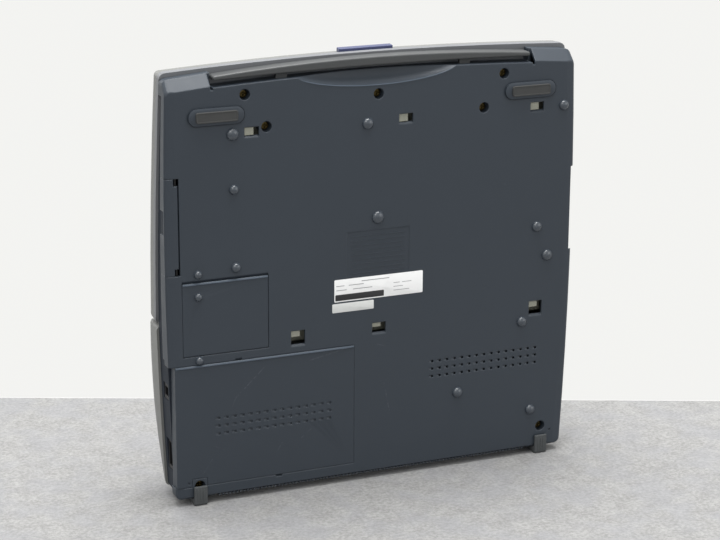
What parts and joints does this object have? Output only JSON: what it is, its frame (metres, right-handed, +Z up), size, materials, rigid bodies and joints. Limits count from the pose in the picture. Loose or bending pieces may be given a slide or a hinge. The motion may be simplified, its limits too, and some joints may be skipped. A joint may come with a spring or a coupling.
{
  "type": "word processor",
  "caption": "Portable electronic word processor with hinged lid, keyboard, built-in printer, disk drive and pull-out handle, stood on its rear edge.",
  "frame": {"origin": "on the floor plane under the two stand feet, at the middle of the bounding box in plan", "axes": "+Z up from the stand feet to the handle edge, +Y out of the lid, +X to the right of a user at the keyboard"},
  "size_m": [0.3798, 0.068, 0.3833],
  "materials": {
    "tub_plastic": "fine textured",
    "deck_plastic": "fine textured",
    "lid_plastic": "fine textured, warm grey",
    "bezel_plastic": "fine textured",
    "blue_plastic": "satin",
    "display_panel": "smooth dark",
    "key_plastic": "satin",
    "gear_plastic": "satin",
    "beige_plastic": "moulded",
    "grip_plastic": "smooth",
    "black_plastic": "moulded",
    "pad_rubber": "dull",
    "foot_rubber": "dull",
    "black_rubber": "ground",
    "screw_brass": "passivated",
    "steel": "bright",
    "can_metal": "plated",
    "circuit_board": "solder mask"
  },
  "bodies": {
    "base": {"base_casing": "tub_plastic", "top_deck": "deck_plastic", "lid_hinge_pin_left": "steel", "lid_hinge_pin_right": "steel", "printer_cover_rod": "steel", "port_door_pin": "steel", "rubber_pad_left": "pad_rubber", "rubber_pad_right": "pad_rubber", "stand_foot_left": "foot_rubber", "stand_foot_right": "foot_rubber", "case_screw_front_left": "screw_brass", "case_screw_front_right": "screw_brass", "case_screw_inner_left": "screw_brass", "case_screw_inner_right": "screw_brass", "case_screw_middle": "screw_brass", "case_screw_rear_left": "screw_brass", "case_screw_rear_right": "screw_brass", "inner_chassis": "beige_plastic", "main_board": "circuit_board", "backup_battery": "black_plastic", "io_connectors": "black_plastic", "keyboard_tray": "steel", "floppy_drive": "black_plastic", "power_supply": "can_metal", "mains_inlet": "black_plastic", "line_jack": "black_plastic", "printer_frame": "steel", "guide_rail": "steel", "feed_motor": "can_metal", "timing_belt": "black_rubber", "carriage_motor": "can_metal"},
    "lid": {"display_back": "lid_plastic", "display_bezel": "bezel_plastic", "lcd_panel": "display_panel"},
    "latch": {"latch_button": "blue_plastic", "latch_hook": "black_plastic"},
    "printer_lid": {"printer_cover": "lid_plastic"},
    "handle": {"handle_grip": "grip_plastic", "handle_arm_left": "grip_plastic", "handle_arm_right": "grip_plastic"},
    "door": {"port_door": "tub_plastic"},
    "option_cover": {"option_bay_cover": "tub_plastic"},
    "power_cover": {"power_unit_cover": "tub_plastic"},
    "keys_function": {"key_row_function": "key_plastic"},
    "keys_number": {"key_row_number": "key_plastic"},
    "keys_upper": {"key_row_upper": "key_plastic"},
    "keys_home": {"key_row_home": "key_plastic"},
    "keys_lower": {"key_row_lower": "key_plastic"},
    "keys_space": {"key_row_space": "key_plastic"},
    "eject": {"eject_button": "bezel_plastic"},
    "switch": {"power_switch": "black_plastic"},
    "platen": {"platen_roller": "black_rubber", "platen_gear": "gear_plastic"},
    "idler": {"idler_gear": "gear_plastic"},
    "pinion": {"motor_pinion": "screw_brass"},
    "print_carriage": {"carriage": "black_plastic", "ribbon_cassette": "beige_plastic"},
    "pulley_left": {"motor_pulley": "screw_brass"},
    "pulley_right": {"idler_pulley": "screw_brass"}
  },
  "joints": [
    {"name": "lid_hinge", "type": "hinge", "parent": "base", "child": "lid", "pos_m": [0, 0.02452, 0.16754], "axis": [-1, 0, 0], "range_deg": [0, 115]},
    {"name": "latch_press", "type": "slide", "parent": "lid", "child": "latch", "axis": [0, 0.0709, -0.9975], "range_m": [0, 0.0015], "stiffness_N_per_m": 800, "springref_m": -0.002},
    {"name": "printer_cover_hinge", "type": "hinge", "parent": "base", "child": "printer_lid", "pos_m": [0, 0.0059, 0.0101], "axis": [-1, 0, 0], "range_deg": [0, 70]},
    {"name": "handle_slide", "type": "slide", "parent": "base", "child": "handle", "axis": [0, 0, 1], "range_m": [0, 0.025]},
    {"name": "port_door_hinge", "type": "hinge", "parent": "base", "child": "door", "pos_m": [-0.17965, -0.0278, 0.2485], "axis": [0, 0, 1], "range_deg": [0, 90]},
    {"name": "option_cover_lift", "type": "slide", "parent": "base", "child": "option_cover", "axis": [0, -1, 0], "range_m": [0, 0.02]},
    {"name": "power_cover_lift", "type": "slide", "parent": "base", "child": "power_cover", "axis": [0, -1, 0], "range_m": [0, 0.02]},
    {"name": "keys_function_press", "type": "slide", "parent": "base", "child": "keys_function", "axis": [0, -0.9975, -0.0709], "range_m": [0, 0.002], "stiffness_N_per_m": 600, "springref_m": -0.001},
    {"name": "keys_number_press", "type": "slide", "parent": "base", "child": "keys_number", "axis": [0, -0.9975, -0.0709], "range_m": [0, 0.002], "stiffness_N_per_m": 600, "springref_m": -0.001},
    {"name": "keys_upper_press", "type": "slide", "parent": "base", "child": "keys_upper", "axis": [0, -0.9975, -0.0709], "range_m": [0, 0.002], "stiffness_N_per_m": 600, "springref_m": -0.001},
    {"name": "keys_home_press", "type": "slide", "parent": "base", "child": "keys_home", "axis": [0, -0.9975, -0.0709], "range_m": [0, 0.002], "stiffness_N_per_m": 600, "springref_m": -0.001},
    {"name": "keys_lower_press", "type": "slide", "parent": "base", "child": "keys_lower", "axis": [0, -0.9975, -0.0709], "range_m": [0, 0.002], "stiffness_N_per_m": 600, "springref_m": -0.001},
    {"name": "keys_space_press", "type": "slide", "parent": "base", "child": "keys_space", "axis": [0, -0.9975, -0.0709], "range_m": [0, 0.002], "stiffness_N_per_m": 600, "springref_m": -0.001},
    {"name": "eject_press", "type": "slide", "parent": "base", "child": "eject", "axis": [-1, 0, 0], "range_m": [0, 0.002], "stiffness_N_per_m": 500, "springref_m": -0.001},
    {"name": "switch_slide", "type": "slide", "parent": "base", "child": "switch", "axis": [0, 0, 1], "range_m": [0, 0.006]},
    {"name": "platen_spin", "type": "hinge", "parent": "base", "child": "platen", "pos_m": [0, 0.016, 0.1], "axis": [1, 0, 0], "continuous": true},
    {"name": "idler_spin", "type": "hinge", "parent": "base", "child": "idler", "pos_m": [0, 0.01185, 0.07585], "axis": [1, 0, 0], "continuous": true},
    {"name": "pinion_spin", "type": "hinge", "parent": "base", "child": "pinion", "pos_m": [0, 0.01269, 0.05907], "axis": [1, 0, 0], "continuous": true},
    {"name": "carriage_travel", "type": "slide", "parent": "base", "child": "print_carriage", "axis": [1, 0, 0], "range_m": [0, 0.25]},
    {"name": "motor_pulley_spin", "type": "hinge", "parent": "base", "child": "pulley_left", "pos_m": [-0.14995, 0.006, 0.133], "axis": [0, 1, 0], "range_deg": [-2050, 0]},
    {"name": "idler_pulley_spin", "type": "hinge", "parent": "base", "child": "pulley_right", "pos_m": [0.15005, 0.006, 0.133], "axis": [0, 1, 0], "range_deg": [-2050, 0]}
  ],
  "couplings": [
    {"joint": "idler_spin", "follows": "platen_spin", "ratio": -1.2},
    {"joint": "pinion_spin", "follows": "platen_spin", "ratio": 2.4},
    {"joint": "motor_pulley_spin", "follows": "carriage_travel", "rad_per_m": -142.86},
    {"joint": "idler_pulley_spin", "follows": "carriage_travel", "rad_per_m": -142.86}
  ]
}
